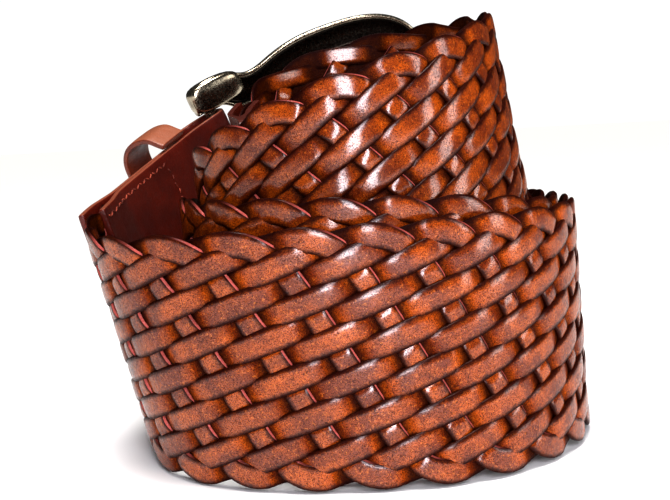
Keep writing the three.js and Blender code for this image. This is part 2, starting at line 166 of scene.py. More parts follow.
# ------------------------------------------------------------------ the strands
STRANDS, PITCH = 14, 15.3            # strands in the braid, and along the belt from one edge arch to the next
LEVEL, SLIP = 4.42, -2.52            # each crossing's step across, and along for the steep legs
STRAND = dict(flat=5.5, swell=0.45, steep=5.5, thick=1.6, arch=8.6)
# how far a strand stands off the band's middle where it is over and where it is under: shallow legs, steep legs
OVER, UNDER = (0.95, 0.58), (0.62, 1.0)
PERIOD = STRANDS * PITCH


def strand_path():
    """One period of a strand: along, across, phase. The shallow leg, the top arch, the steep leg, the bottom arch."""
    top_t = LEVEL * STRANDS / 2
    bot0, top, bot1 = np.array([0, -top_t]), np.array([STRANDS * (PITCH + SLIP), top_t]), np.array([PERIOD, -top_t])
    a, b = (top - bot0) / np.linalg.norm(top - bot0), (bot1 - top) / np.linalg.norm(bot1 - top)
    al, be = math.atan2(a[1], a[0]), math.atan2(b[1], b[0])
    r = STRAND["arch"]
    L = r * math.tan((al - be) / 2)
    pts = []
    p0, p1 = bot0 + L * a, top - L * a
    k = int(np.linalg.norm(p1 - p0) / 1.9)
    pts += [p0 + (p1 - p0) * i / k for i in range(k)]
    c = p1 + r * np.array([math.sin(al), -math.cos(al)])
    k = int(r * (al - be) / 0.9)
    pts += [c + r * np.array([-math.sin(w), math.cos(w)]) for w in np.linspace(al, be, k, endpoint=False)]
    p2, p3 = top + L * b, bot1 - L * b
    k = int(np.linalg.norm(p3 - p2) / 0.85)
    pts += [p2 + (p3 - p2) * i / k for i in range(k)]
    c = p3 + r * np.array([-math.sin(be), math.cos(be)])
    k = int(r * (al - be) / 0.9)
    pts += [c + r * np.array([math.sin(w), -math.cos(w)]) for w in np.linspace(be, al, k, endpoint=False)]
    pts = np.array(pts)
    nxt = np.vstack([pts[1:], pts[0] + [PERIOD, 0]])
    seg = np.linalg.norm(nxt - pts, axis=1)
    dist = np.r_[0, np.cumsum(seg)]
    total = dist[-1]
    la, lb = np.linalg.norm(top - bot0) / STRANDS, np.linalg.norm(bot1 - top) / STRANDS
    arc = r * (al - be)
    knots, phase = [], []
    for n in range(1, STRANDS):                      # shallow leg's crossings
        knots.append(n * la - L); phase.append(n)
    start_b = (np.linalg.norm(top - bot0) - 2 * L) + arc     # path length where the steep leg's straight part begins
    for i, n in enumerate(range(STRANDS - 1, 0, -1)):
        knots.append(start_b + (STRANDS - n) * lb - L); phase.append(STRANDS + i)
    knots, phase = np.array(knots), np.array(phase, float)
    kn = np.r_[knots[-1] - total, knots, knots[0] + total]
    ph = np.r_[phase[-1] - 26, phase, phase[0] + 26]
    steep = (dist[:-1] > start_b - arc * 0.3) & (dist[:-1] < start_b + np.linalg.norm(p3 - p2) + arc * 0.3)
    return pts, np.interp(dist[:-1], kn, ph), dist[:-1], total, steep


def phase_map():
    """Arc length along the strap of the weave's own length, pinned where the photo shows the edge arches."""
    q_outer = arc_of("outer S")
    pins = [(0.0, q_outer)]
    rows = [("inner SSW", -34.0), ("inner S", -8.5), ("inner SSE", 17.0), ("inner SE", 42.5), ("inner E", 68.0)]
    q0 = arc_of("inner S")
    k = round((q0 - q_outer + 8.5) / PITCH)
    for name, p in rows:
        pins.append((p + k * PITCH, arc_of(name)))
    for shift, q in MIDDLE_PINS:
        base = q - q_outer
        p = round((base - shift) / PITCH) * PITCH + shift
        pins.append((p, q))
    pins = sorted(pins)
    P, Q = np.array([p for p, q in pins]), np.array([q for p, q in pins])
    P = np.r_[P[0] - 400, P, P[-1] + 400]
    Q = np.r_[Q[0] - 400, Q, Q[-1] + 400]
    return P, Q


def crest_pins():
    """Where the middle wrap's top edge passes the photo's arch crests (picture columns)."""
    out = []
    q = np.arange(arc_of("middle SW") - 12, arc_of("middle ESE") + 12, 0.5)
    X = strap_point(q, 0.0, 30.6) * MM
    o = np.array(m.translation)
    d = X - o
    w = d @ np.array(FW)
    u = 335 + 1086 * (d @ np.array(RT)) / w
    for col in (280.0, 407.0, 514.0):
        out.append((-38.5, float(np.interp(col, u, q))))
    return out


MIDDLE_PINS = crest_pins()


def make_strands():
    rng = np.random.default_rng(7)
    pts, ph, dist, total, steep = strand_path()
    P, Q = phase_map()
    p_lo, p_hi = np.interp([BRAID_START + 0.4, BRAID_END - 0.4], Q, P)
    cuts_q = [BRAID_START, arc_of("outer NW") + 6, arc_of("inner WNW") - 6, BRAID_END]
    names = ["braid_outer_wrap", "braid_middle_wrap", "braid_inner_wrap"]
    # the strand's section: a crowned face, upright cut edges and a flatter back
    sec = [(x, 0.54 + 0.46 * (1 - abs(x) ** 5.2), 0) for x in (0.90, 0.86, 0.66, 0.3, -0.3, -0.66, -0.88, -0.98)]
    sec += [(-1.0, 0.36, 1), (-1.0, -0.42, 1), (-0.93, -0.60, 0), (-0.5, -0.76, 0), (0.0, -0.80, 0), (0.5, -0.76, 0), (0.93, -0.60, 0), (1.02, -0.42, 1), (1.04, 0.28, 1), (0.93, 0.70, 1)]
    sec = np.array(sec)
    K = len(sec)
    sx, sz, srim = sec.T
    # painted light: the cut face on one side of each strand keeps full weight, the other side only a fifth
    srim = srim * np.where(sx > 0, 1.0, 0.2)
    face_sign = np.where(sz > 0, 1.0, -1.0)
    data = {n: dict(v=[], f=[], a=[], l=[], e=[], r=[], base=0) for n in names}
    for k in range(STRANDS):
        reps = range(-3, 8)
        p = np.concatenate([pts[:, 0] + PITCH * k + PERIOD * r for r in reps])
        t = np.concatenate([pts[:, 1] for r in reps])
        f = np.concatenate([ph + 26 * r for r in reps])
        st = np.concatenate([steep for r in reps])
        al = np.concatenate([dist + total * r for r in reps])
        # a hand-braided strand wanders a little
        w1, w2 = rng.uniform(0, 6.28, 2)
        t = t + 0.16 * np.sin(al / 23.0 + w1) * np.cos(al / 7.1 + w2)
        # the edge arches are pressed flatter, and their crests lie back along the belt
        e = np.clip((np.abs(t) - 17) / 12, 0, 1)
        p = p - 2.2 * np.sign(t) * e * e * (3 - 2 * e)
        t = np.sign(t) * np.where(np.abs(t) > 24, 24 + (np.abs(t) - 24) * 0.68, np.abs(t))
        near = np.convolve(np.pad(st.astype(float), 4, mode="edge"), np.ones(9) / 9, "valid")   # 0 on a shallow leg, 1 on a steep one
        # a shallow leg stays up until a steep one crosses over it; a steep one shows only there
        c0 = 0.56 * (1 - near) + 0.05 * near
        c = np.cos(math.pi * f) + c0
        c = c / (1 + np.abs(c0))
        c = np.where(c > 0, c * (1 + np.abs(c0)) / (1 + c0), c * (1 + np.abs(c0)) / (1 - c0))
        lift = np.sign(c) * np.abs(c) ** (0.46 + 0.02 * near)
        # ease the sign change, so the strand has no kink there
        lift = np.convolve(np.pad(lift, 1, mode="edge"), [0.25, 0.5, 0.25], "valid")
        over, under = OVER[0] + (OVER[1] - OVER[0]) * near, UNDER[0] + (UNDER[1] - UNDER[0]) * near
        off = np.where(lift > 0, over, under) * lift + 0.06 * np.sin(al / 9.0 + w2)
        keep = (p > p_lo) & (p < p_hi)
        idx = np.nonzero(keep)[0]
        i0, i1 = idx[0], idx[-1] + 1
        p, t, off, lift, al, near = p[i0:i1], t[i0:i1], off[i0:i1], lift[i0:i1], al[i0:i1], near[i0:i1]
        q = np.interp(p, P, Q)
        C, T, D, N = strap(q)
        ctr = C + N * off[:, None] + D * t[:, None]
        tan = unit(np.gradient(ctr, axis=0))
        side = unit(np.cross(N, tan))
        nrm = unit(np.cross(tan, side))
        nrm *= np.sign((nrm * N).sum(1))[:, None]
        flat = STRAND["flat"] + STRAND["swell"] * np.maximum(lift, 0) ** 0.8
        wid = (flat + (STRAND["steep"] - flat) * near) / 2 * (1 + 0.02 * np.sin(al / 31.0 + w1) + 0.015 * np.sin(al / 8.3))
        ring = ctr[:, None, :] + side[:, None, :] * (sx[None, :] * wid[:, None])[..., None] + nrm[:, None, :] * (sz * STRAND["thick"] / 2)[None, :, None]
        ring[..., 2] = np.maximum(ring[..., 2], 0.02)
        across = np.broadcast_to(np.abs(sx), ring.shape[:2])
        liftv = lift[:, None] * face_sign[None, :] * 0.5 + 0.5
        edge = srim[None, :] * (0.25 + 0.75 * near[:, None])
        rnd = np.broadcast_to((0.5 + 0.5 * np.sin(np.floor(al / (total / 14)) * 12.9898 + k * 78.233))[:, None], ring.shape[:2])
        for w, name in enumerate(names):
            a = np.searchsorted(q, cuts_q[w]) if w else 0
            b = np.searchsorted(q, cuts_q[w + 1]) if w < 2 else len(q)
            a, b = max(0, a - 1), min(len(q), b + 1)
            if b - a < 3:
                continue
            d = data[name]
            n = b - a
            base = d["base"]
            d["v"].append(ring[a:b].reshape(-1, 3))
            d["a"].append(across[a:b].ravel()); d["l"].append(liftv[a:b].ravel())
            d["e"].append(edge[a:b].ravel()); d["r"].append(rnd[a:b].ravel())
            i = np.arange(n - 1)[:, None] * K
            j = np.arange(K)[None, :]
            j1 = (j + 1) % K
            quad = np.stack([base + i + j, base + i + j1, base + i + K + j1, base + i + K + j], -1).reshape(-1, 4)
            d["f"].append(quad)
            d.setdefault("caps", []).append(list(range(base, base + K))[::-1])
            d["caps"].append(list(range(base + (n - 1) * K, base + n * K)))
            d["base"] += n * K
    out = []
    for name in names:
        d = data[name]
        faces = np.concatenate(d["f"]).tolist() + d["caps"]
        me = mesh_from(name, np.concatenate(d["v"]), faces, dict(across=np.concatenate(d["a"]), lift=np.concatenate(d["l"]), rim=np.concatenate(d["e"]), tone=np.concatenate(d["r"])))
        out.append(new_object(name, me))
    return out


# ---------------------------------------------------- thick sheets of leather
def thick_sheet(name, outer, inner, present=None, closed=False, attrs=None):
    """Closed solid between two grids of points; present marks the cells that are leather."""
    ni, nj = outer.shape[:2]
    verts = np.concatenate([outer.reshape(-1, 3), inner.reshape(-1, 3)])
    off = ni * nj
    if present is None:
        present = np.ones((ni - 1, nj - 1), bool)
    ok = lambda i, j: 0 <= i < ni - 1 and 0 <= j < nj - 1 and present[i, j]
    V = lambda i, j: i * nj + j
    faces = []
    for i in range(ni - 1):
        for j in range(nj - 1):
            if not present[i, j]:
                continue
            a, b, c, d = V(i, j), V(i + 1, j), V(i + 1, j + 1), V(i, j + 1)
            faces.append((a, b, c, d))
            faces.append((off + d, off + c, off + b, off + a))
            if not ok(i, j - 1): faces.append((b, a, off + a, off + b))
            if not ok(i, j + 1): faces.append((d, c, off + c, off + d))
            if not ok(i - 1, j): faces.append((a, d, off + d, off + a))
            if not ok(i + 1, j): faces.append((c, b, off + b, off + c))
    used = sorted({v for f in faces for v in f})
    remap = {v: i for i, v in enumerate(used)}
    me = mesh_from(name, verts[used], [tuple(remap[v] for v in f) for f in faces], {k: np.asarray(v)[used] for k, v in (attrs or {}).items()})
    ob = new_object(name, me)
    return ob


def outward(ob):
    """Face normals out, by the solid's signed volume."""
    import bmesh
    bm = bmesh.new()
    bm.from_mesh(ob.data)
    bmesh.ops.recalc_face_normals(bm, faces=bm.faces)
    bm.to_mesh(ob.data)
    bm.free()


def bevel(ob, width, segments=3, angle=50):
    b = ob.modifiers.new("edges", "BEVEL")
    b.width, b.segments, b.limit_method, b.angle_limit = width * MM, segments, "ANGLE", math.radians(angle)
    b.harden_normals = False
    b.use_clamp_overlap = True


def resample(points, step):
    pts = np.asarray(points, float)
    d = np.r_[0, np.cumsum(np.linalg.norm(np.diff(pts, axis=0), axis=1))]
    n = max(2, int(math.ceil(d[-1] / step)))
    x = np.linspace(0, d[-1], n + 1)
    return np.stack([np.interp(x, d, pts[:, i]) for i in range(pts.shape[1])], -1)


def soften(path, times):
    p = path.copy()
    for _ in range(times):
        p[1:-1] = 0.25 * p[:-2] + 0.5 * p[1:-1] + 0.25 * p[2:]
    return p


def path_normals(path):
    t = unit(np.gradient(path, axis=0))
    return np.stack([-t[:, 1], t[:, 0]], -1)


HALF = BELT_WIDTH / 2 - 0.4


def make_tab():
    """One strip of leather folded round the bar; its two layers hold the braid's end."""
    h = LEATHER / 2
    slot = BRAID_THICK / 2 + GAP + h
    loop = BAR_RADIUS + 0.5 + h
    arc = [(loop * math.cos(a), 0.6 + loop * math.sin(a)) for a in np.radians(np.linspace(95, 275, 22))]
    line = [(TAB_END, slot), (TAB_END - 10, slot), (TAB_END - 20, h + 0.05), (22, h + 0.05), (18.4, h + 2.1), (14, 5.9), (9, 6.6), (4, 5.5)] + arc + [(6, -1.9), (12, -h - 0.05), (TAB_END - 20, -h - 0.05), (TAB_END - 10, -slot), (TAB_END, -slot)]
    path = soften(resample(line, 0.8), 4)
    nm = path_normals(path)
    t = np.r_[np.linspace(-HALF, -4.6, 26), np.linspace(-4.6, 4.6, 9)[1:-1], np.linspace(4.6, HALF, 26)]
    g = []
    for sgn in (1, -1):
        q = path + nm * h * sgn
        # the edges of the strip are pressed a little thinner
        press = 1 - 0.16 * np.clip((np.abs(t) - HALF + 2.2) / 2.2, 0, 1) ** 2
        s = path[:, None, 0] + nm[:, None, 0] * h * sgn * press[None, :]
        n = path[:, None, 1] + nm[:, None, 1] * h * sgn * press[None, :]
        g.append(strap_point(s, n, np.broadcast_to(t[None, :], s.shape)))
    mid_i = (path[:-1, 0] + path[1:, 0]) / 2
    mid_j = (t[:-1] + t[1:]) / 2
    present = ~((mid_i[:, None] < 7.5) & (np.abs(mid_j)[None, :] < 4.6))
    ob = thick_sheet("tab_leather", g[0], g[1], present)
    outward(ob)
    bevel(ob, 0.45)
    return ob


def make_tip():
    """The free end: a smooth strip on each side of the braid, joined past its end."""
    a, b = LENGTH - TIP_LENGTH, LENGTH
    h = LEATHER
    fork = BRAID_THICK / 2 + GAP
    s_out = np.r_[np.linspace(a, b - 14, 24), b - 14 + 14 * np.sin(np.linspace(0, math.pi / 2, 16))[1:]]
    outer_n = np.interp(s_out, [a, a + 9, a + 17, b], [fork + LEATHER, fork + LEATHER, LEATHER, LEATHER])
    k = np.clip((s_out - a - 9) / 8, 0, 1)
    outer_n = (fork + LEATHER) + (LEATHER - fork - LEATHER) * (k * k * (3 - 2 * k))
    r = 14.0
    x = np.clip(s_out - (b - r), 0, r)
    tmax = HALF - r + np.sqrt(np.maximum(r * r - x * x, 0.0))
    tau = np.sin(np.linspace(-math.pi / 2, math.pi / 2, 41))
    S = np.broadcast_to(s_out[:, None], (len(s_out), len(tau)))
    Tt = tmax[:, None] * tau[None, :]
    obs = []
    for sgn, nm in ((1, "tip_leather_outer"), (-1, "tip_leather_inner")):
        inner_n = np.where(s_out < a + TIP_LAP + GAP, fork, 0.02)
        kk = np.clip((s_out - (a + TIP_LAP - 1)) / 5, 0, 1)
        inner_n = fork + (0.03 - fork) * kk * kk * (3 - 2 * kk)
        O = strap_point(S, sgn * np.broadcast_to(outer_n[:, None], S.shape), Tt)
        I = strap_point(S, sgn * np.broadcast_to(inner_n[:, None], S.shape), Tt)
        ob = thick_sheet(nm, O, I)
        outward(ob)
        bevel(ob, 0.35)
        obs.append(ob)
    return obs


def make_keeper():
    k = KEEPER
    w = HALF + GAP + k["rise"]
    h = k["thick"] / 2
    r = k["corner"] + h
    n_top = LEATHER + k["stand"] - 2 + h
    T = w + h
    ang = np.radians(np.linspace(90, 0, 14))
    half = [(-LEATHER + 0.5, T - k["rise"]), (0.8, T - k["rise"] + 1.2), (3.4, T)] + [(n_top - r + r * math.cos(x), T - r + r * math.sin(x)) for x in ang]
    line = half + [(n, -t) for n, t in half[::-1]]
    path = soften(resample(line, 1.0), 5)
    nm = path_normals(path)
    s = np.linspace(k["start"], k["end"], 13)
    g = []
    for sgn in (1, -1):
        crown = 1 - 0.25 * np.abs(np.linspace(-1, 1, 13)) ** 3
        n = path[:, None, 0] + nm[:, None, 0] * h * sgn * crown[None, :]
        t = path[:, None, 1] + nm[:, None, 1] * h * sgn * crown[None, :]
        g.append(strap_point(np.broadcast_to(s[None, :], n.shape), n, t))
    ob = thick_sheet("keeper_leather", g[0], g[1])
    outward(ob)
    bevel(ob, 0.35)
    return ob


# --------------------------------------------------------- the buckle's metal
FRAME_OUTER = [(-4.4, 38.4), (-3, 40.4), (0, 41.3), (4, 41.4), (9, 40.6), (13, 39.0), (16, 37.6), (19, 37.3), (25, 38.4), (32, 39.6),
               (39, 39.9), (46, 39.4), (53, 38.5), (60, 37), (67, 34), (72, 29.6), (75.5, 22), (77, 12), (77.4, 0)]
FRAME_INNER = [(-4.4, 32.4), (2.5, 32.3), (6.0, 31.0), (9, 28.4), (14, 27.2), (24, 28.0), (37, 29.2), (49, 29.0), (57, 27.6), (63, 24.6), (67, 20), (69.6, 13), (70.4, 6), (70.6, 0)]
_C0, _T0, _D0, _N0 = [x[0] for x in strap(0.0)]
BAR = _C0 + 0.6 * _N0
_sw = math.radians(FRAME["swing"])
FX = -_T0 * math.cos(_sw) - _N0 * math.sin(_sw)
FN = _N0 * math.cos(_sw) - _T0 * math.sin(_sw)
FD = _D0


def frame_point(x, n, t):
    a, r = x / FRAME["bow"], FRAME["bow"] + n
    return BAR + FX * (r * np.sin(a))[..., None] + FN * (r * np.cos(a) - FRAME["bow"])[..., None] + FD * t[..., None]


def smooth_line(points, count):
    pts = np.array(points, float)
    full = np.vstack([pts, (pts[:-1] * [1, -1])[::-1]])
    d = np.r_[0, np.cumsum(np.linalg.norm(np.diff(full, axis=0), axis=1))]
    x = np.linspace(0, d[-1], count)
    return np.stack([natural_spline(d, full[:, i])(x)[0] for i in range(2)], -1)


def tube(points, radii, k=20, squash=None):
    """Round bar along points (mm), closed at both ends."""
    P = np.asarray(points, float)
    T = unit(np.gradient(P, axis=0))
    ref = np.tile(FD, (len(P), 1))
    A = unit(np.cross(ref, T)); B = np.cross(T, A)
    a = np.arange(k) * 2 * math.pi / k
    sq = np.ones(len(P)) if squash is None else np.asarray(squash)
    ring = P[:, None] + A[:, None] * (np.cos(a)[None, :] * (radii * sq)[:, None])[..., None] + B[:, None] * (np.sin(a)[None, :] * radii[:, None])[..., None]
    n = len(P)
    V = ring.reshape(-1, 3)
    F = [(i * k + j, i * k + (j + 1) % k, (i + 1) * k + (j + 1) % k, (i + 1) * k + j) for i in range(n - 1) for j in range(k)]
    F += [tuple(range(k))[::-1], tuple(range((n - 1) * k, n * k))]
    return V, F


def joined(name, parts):
    V, F, base = [], [], 0
    for v, f in parts:
        V.append(v); F += [tuple(i + base for i in face) for face in f]; base += len(v)
    ob = new_object(name, mesh_from(name, np.concatenate(V), F))
    outward(ob)
    return ob


def rounded_lump(x0, x1, t0, t1, thick, side, k=9):
    """The frame's raised corner: a rounded lump, as a warped grid on a cube sphere."""
    V, F = [], []
    grid = np.linspace(-1, 1, k)
    idx = {}

    def vid(p):
        key = tuple(np.round(p, 6))
        if key not in idx:
            idx[key] = len(V); V.append(p)
        return idx[key]

    for ax in range(3):
        for sg in (-1, 1):
            o = [i for i in range(3) if i != ax]
            for i in range(k - 1):
                for j in range(k - 1):
                    q = []
                    for di, dj in ((0, 0), (1, 0), (1, 1), (0, 1)):
                        p = np.zeros(3); p[ax] = sg; p[o[0]] = grid[i + di]; p[o[1]] = grid[j + dj]
                        q.append(vid(p))
                    F.append(tuple(q))
    V = np.array(V)
    # push the cube towards a superellipsoid
    e = 4.2
    L = (np.abs(V) ** e).sum(1) ** (1 / e)
    V = V / L[:, None]
    x = (x0 + x1) / 2 + V[:, 0] * (x1 - x0) / 2
    fall = np.clip((x - x0) / (x1 - x0), 0, 1)
    tt = (t0 + t1) / 2 + V[:, 1] * (t1 - t0) / 2
    tt = np.where(V[:, 1] > 0, tt - 2.9 * np.clip(fall - 0.45, 0, 1) ** 1.5, tt)
    nn = V[:, 2] * thick / 2 * (1 - 0.38 * np.clip(fall - 0.3, 0, 1) ** 1.2)
    return frame_point(x, nn, side * tt), F


def make_frame():
    n = 260
    O, I = smooth_line(FRAME_OUTER, n), smooth_line(FRAME_INNER, n)
    prof = np.array([(0.0, 0.2), (0.03, 0.85), (0.12, 1.3), (0.3, 1.6), (0.5, 1.7), (0.7, 1.6), (0.88, 1.3), (0.97, 0.85), (1.0, 0.2), (1.0, -1.2), (0.985, -1.5), (0.955, -1.68), (0.915, -1.68),
                     (0.88, -1.5), (0.84, -0.75), (0.76, -0.52), (0.5, -0.42), (0.24, -0.52), (0.16, -0.75), (0.12, -1.5), (0.085, -1.68), (0.045, -1.68), (0.015, -1.5), (0.0, -1.2)])
    k = len(prof)
    w = prof[:, 0][None, :]
    x = I[:, 0:1] * (1 - w) + O[:, 0:1] * w
    t = I[:, 1:2] * (1 - w) + O[:, 1:2] * w
    V = frame_point(x, np.broadcast_to(prof[:, 1][None, :], x.shape), t).reshape(-1, 3)
    F = [(i * k + j, i * k + (j + 1) % k, (i + 1) * k + (j + 1) % k, (i + 1) * k + j) for i in range(n - 1) for j in range(k)]
    F += [tuple(range(k))[::-1], tuple(range((n - 1) * k, n * k))]
    parts = [(V, F)]
    for side in (1, -1):
        parts.append(rounded_lump(-4.9, 14.0, 31.9, 41.3, 6.6, side))
    bar = BAR + np.linspace(-36, 36, 40)[:, None] * FD
    # the bar's tube runs along its own axis, so it is built here
    a = np.arange(24) * 2 * math.pi / 24
    ring = bar[:, None] + FX * (np.cos(a)[None, :, None] * BAR_RADIUS) + FN * (np.sin(a)[None, :, None] * BAR_RADIUS)
    kk = 24
    Fb = [(i * kk + j, i * kk + (j + 1) % kk, (i + 1) * kk + (j + 1) % kk, (i + 1) * kk + j) for i in range(39) for j in range(kk)]
    Fb += [tuple(range(kk))[::-1], tuple(range(39 * kk, 40 * kk))]
    parts.append((ring.reshape(-1, 3), Fb))
    return joined("frame_metal", parts)


# ------------------------------------------------------------------ materials
def lin(r, g, b):
    f = lambda c: (c / 255) / 12.92 if c / 255 <= 0.04045 else ((c / 255 + 0.055) / 1.055) ** 2.4
    return (f(r), f(g), f(b), 1.0)


class Graph:
    def __init__(self, name):
        self.m = bpy.data.materials.new(name)
        self.m.use_nodes = True
        self.t = self.m.node_tree
        self.bsdf = self.t.nodes["Principled BSDF"]

    def node(self, kind, **kw):
        n = self.t.nodes.new(kind)
        for k, v in kw.items():
            setattr(n, k, v)
        return n

    def link(self, a, b):
        self.t.links.new(a, b)

    def attr(self, name):
        n = self.node("ShaderNodeAttribute", attribute_name=name)
        return n.outputs["Fac"]

    def coords(self, scale=(1000, 1000, 1000)):
        tc = self.node("ShaderNodeTexCoord")
        mp = self.node("ShaderNodeMapping")
        mp.inputs["Scale"].default_value = scale
        self.link(tc.outputs["Object"], mp.inputs["Vector"])
        return mp.outputs["Vector"]

    def noise(self, vec, scale, detail=3, rough=0.55):
        n = self.node("ShaderNodeTexNoise")
        n.inputs["Scale"].default_value, n.inputs["Detail"].default_value, n.inputs["Roughness"].default_value = scale, detail, rough
        self.link(vec, n.inputs["Vector"])
        return n.outputs["Fac"]

    def voronoi(self, vec, scale, feature="F1"):
        n = self.node("ShaderNodeTexVoronoi", feature=feature)
        n.inputs["Scale"].default_value = scale
        self.link(vec, n.inputs["Vector"])
        return n.outputs["Distance"]

    def span(self, x, a, b, c=0.0, d=1.0, smooth=True):
        n = self.node("ShaderNodeMapRange", interpolation_type="SMOOTHSTEP" if smooth else "LINEAR")
        for i, v in zip(("From Min", "From Max", "To Min", "To Max"), (a, b, c, d)):
            n.inputs[i].default_value = v
        self.link(x, n.inputs["Value"])
        return n.outputs["Result"]

    def math(self, op, a, b=None, clamp=False):
        n = self.node("ShaderNodeMath", operation=op, use_clamp=clamp)
        for i, v in enumerate((a, b)):
            if v is None:
                continue
            if isinstance(v, (int, float)):
                n.inputs[i].default_value = v
            else:
                self.link(v, n.inputs[i])
        return n.outputs[0]

    def mix(self, fac, a, b, blend="MIX"):
        n = self.node("ShaderNodeMix", data_type="RGBA", blend_type=blend)
        for key, v in ((0, fac), (6, a), (7, b)):
            if isinstance(v, (int, float)):
                n.inputs[key].default_value = v
            elif isinstance(v, tuple):
                n.inputs[key].default_value = v
            else:
                self.link(v, n.inputs[key])
        return n.outputs[2]

    def bump(self, height, strength, distance, normal=None):
        n = self.node("ShaderNodeBump")
        n.inputs["Strength"].default_value, n.inputs["Distance"].default_value = strength, distance * MM
        self.link(height, n.inputs["Height"])
        if normal is not None:
            self.link(normal, n.inputs["Normal"])
        return n.outputs["Normal"]


def strand_leather():
    g = Graph("strand_leather")
    v = g.coords()
    across, lift, rim, tone = g.attr("across"), g.attr("lift"), g.attr("rim"), g.attr("tone")
    speck = g.noise(v, 4.2, 3, 0.75)
    fleck = g.noise(v, 1.5, 4, 0.7)
    mottle = g.noise(v, 0.16, 3, 0.6)
    patch = g.noise(v, 0.55, 3, 0.6)
    col = g.mix(g.span(mottle, 0.35, 0.65), lin(184, 86, 6), lin(122, 47, 3))
    col = g.mix(g.math("MULTIPLY", tone, 0.35), col, lin(116, 42, 5))
    col = g.mix(g.math("MULTIPLY", g.span(speck, 0.47, 0.58), 0.85), col, lin(50, 13, 4))
    col = g.mix(g.math("MULTIPLY", g.span(fleck, 0.34, 0.44, 1.0, 0.0), 0.45), col, lin(220, 124, 38))
    # darker towards each strand's edges: burnished edges plus painted shade in the crevices between strands
    wob = g.math("MULTIPLY", g.math("SUBTRACT", patch, 0.5), 0.5)
    edge = g.span(g.math("ADD", across, wob), 0.46, 0.93)
    col = g.mix(g.math("MULTIPLY", edge, 0.93), col, lin(34, 3, 2))
    # painted shade: near black where a strand dives under another
    dive_shade = g.span(g.math("ADD", lift, g.math("MULTIPLY", wob, 0.6)), 0.22, 0.68, 1.0, 0.0)
    col = g.mix(g.math("MULTIPLY", dive_shade, 0.88), col, lin(28, 2, 1))
    # the cut edge is paler and pinkish; one side of each strand gets it fully and the other only faintly, painted light
    # on the lit side, and none where the strand dives
    cut_edge_and_highlight = g.math("MULTIPLY", g.span(rim, 0.3, 1.0), g.span(g.noise(v, 0.07, 2), 0.30, 0.5, 0.55, 1.0))
    cut_edge_and_highlight = g.math("MULTIPLY", cut_edge_and_highlight, g.span(lift, 0.42, 0.62))
    col = g.mix(g.math("MULTIPLY", cut_edge_and_highlight, 0.92), col, lin(186, 96, 88))
    g.link(col, g.bsdf.inputs["Base Color"])
    g.link(g.span(patch, 0.3, 0.7, 0.30, 0.46), g.bsdf.inputs["Roughness"])
    g.bsdf.inputs["Specular IOR Level"].default_value = 0.04
    coat = g.math("MULTIPLY", g.span(lift, 0.5, 0.95), g.span(speck, 0.42, 0.60, 1.0, 0.2))
    coat = g.math("MULTIPLY", coat, g.span(across, 0.55, 0.95, 1.0, 0.1))
    g.link(coat, g.bsdf.inputs["Coat Weight"])
    g.bsdf.inputs["Coat IOR"].default_value = 1.85
    g.bsdf.inputs["Coat Roughness"].default_value = 0.16
    n = g.bump(g.noise(v, 0.8, 3, 0.6), 0.5, 0.6)
    n = g.bump(g.voronoi(v, 2.2), 0.35, 0.2, n)
    n = g.bump(speck, 0.5, 0.2, n)
    g.link(n, g.bsdf.inputs["Normal"])
    return g.m


def smooth_leather(name, light, mid, dark, rough, cut_edge_and_highlight, grain=1.0, coat=0.15):
    g = Graph(name)
    v = g.coords()
    mottle, speck, patch = g.noise(v, 0.08, 4, 0.6), g.noise(v, 2.2, 4, 0.7), g.noise(v, 0.5, 3)
    col = g.mix(g.span(mottle, 0.35, 0.65), light, mid)
    col = g.mix(g.math("MULTIPLY", g.span(speck, 0.46, 0.62), 0.5), col, dark)
    # painted highlight: faces that point up, mostly the strips' top cut edges, take the paler edge colour
    geo = g.node("ShaderNodeNewGeometry")
    sep = g.node("ShaderNodeSeparateXYZ")
    g.link(geo.outputs["Normal"], sep.inputs["Vector"])
    painted_light_mask = g.span(sep.outputs["Z"], 0.55, 0.85)
    col = g.mix(g.math("MULTIPLY", painted_light_mask, 0.85), col, cut_edge_and_highlight)
    g.link(col, g.bsdf.inputs["Base Color"])
    g.link(g.span(patch, 0.3, 0.7, rough - 0.06, rough + 0.08), g.bsdf.inputs["Roughness"])
    g.bsdf.inputs["Coat Weight"].default_value = coat
    g.bsdf.inputs["Coat Roughness"].default_value = 0.3
    n = g.bump(g.noise(v, 0.25, 3), 0.25, 0.6)
    n = g.bump(g.voronoi(v, 1.6), 0.3 * grain, 0.2, n)
    n = g.bump(speck, 0.3 * grain, 0.15, n)
    g.link(n, g.bsdf.inputs["Normal"])
    return g.m


def buckle_metal():
    g = Graph("buckle_metal")
    v = g.coords()
    a, b = g.noise(v, 0.12, 3), g.noise(v, 1.4, 3)
    geo = g.node("ShaderNodeNewGeometry")
    # painted reflection: flat and hollow faces are darkened to near black, only the convex edges keep the pale metal as
    # painted edge highlights
    painted_light_mask = g.span(geo.outputs["Pointiness"], 0.48, 0.54)
    col = g.mix(g.span(a, 0.35, 0.65), lin(190, 180, 160), lin(150, 138, 120))
    col = g.mix(g.math("SUBTRACT", 1.0, painted_light_mask), col, lin(38, 32, 28))
    g.link(col, g.bsdf.inputs["Base Color"])
    g.bsdf.inputs["Metallic"].default_value = 1.0
    g.link(g.span(b, 0.3, 0.7, 0.16, 0.30), g.bsdf.inputs["Roughness"])
    n = g.bump(g.noise(v, 0.6, 2), 0.12, 0.3)
    g.link(g.bump(b, 0.08, 0.1, n), g.bsdf.inputs["Normal"])
    return g.m


def thread_material():
    g = Graph("thread")
    v = g.coords()
    col = g.mix(g.span(g.noise(v, 0.35, 2), 0.4, 0.6), lin(168, 78, 52), lin(96, 34, 18))
    g.link(col, g.bsdf.inputs["Base Color"])
    g.bsdf.inputs["Roughness"].default_value = 0.7
    g.link(g.bump(g.noise(v, 6, 2), 0.5, 0.1), g.bsdf.inputs["Normal"])
    return g.m


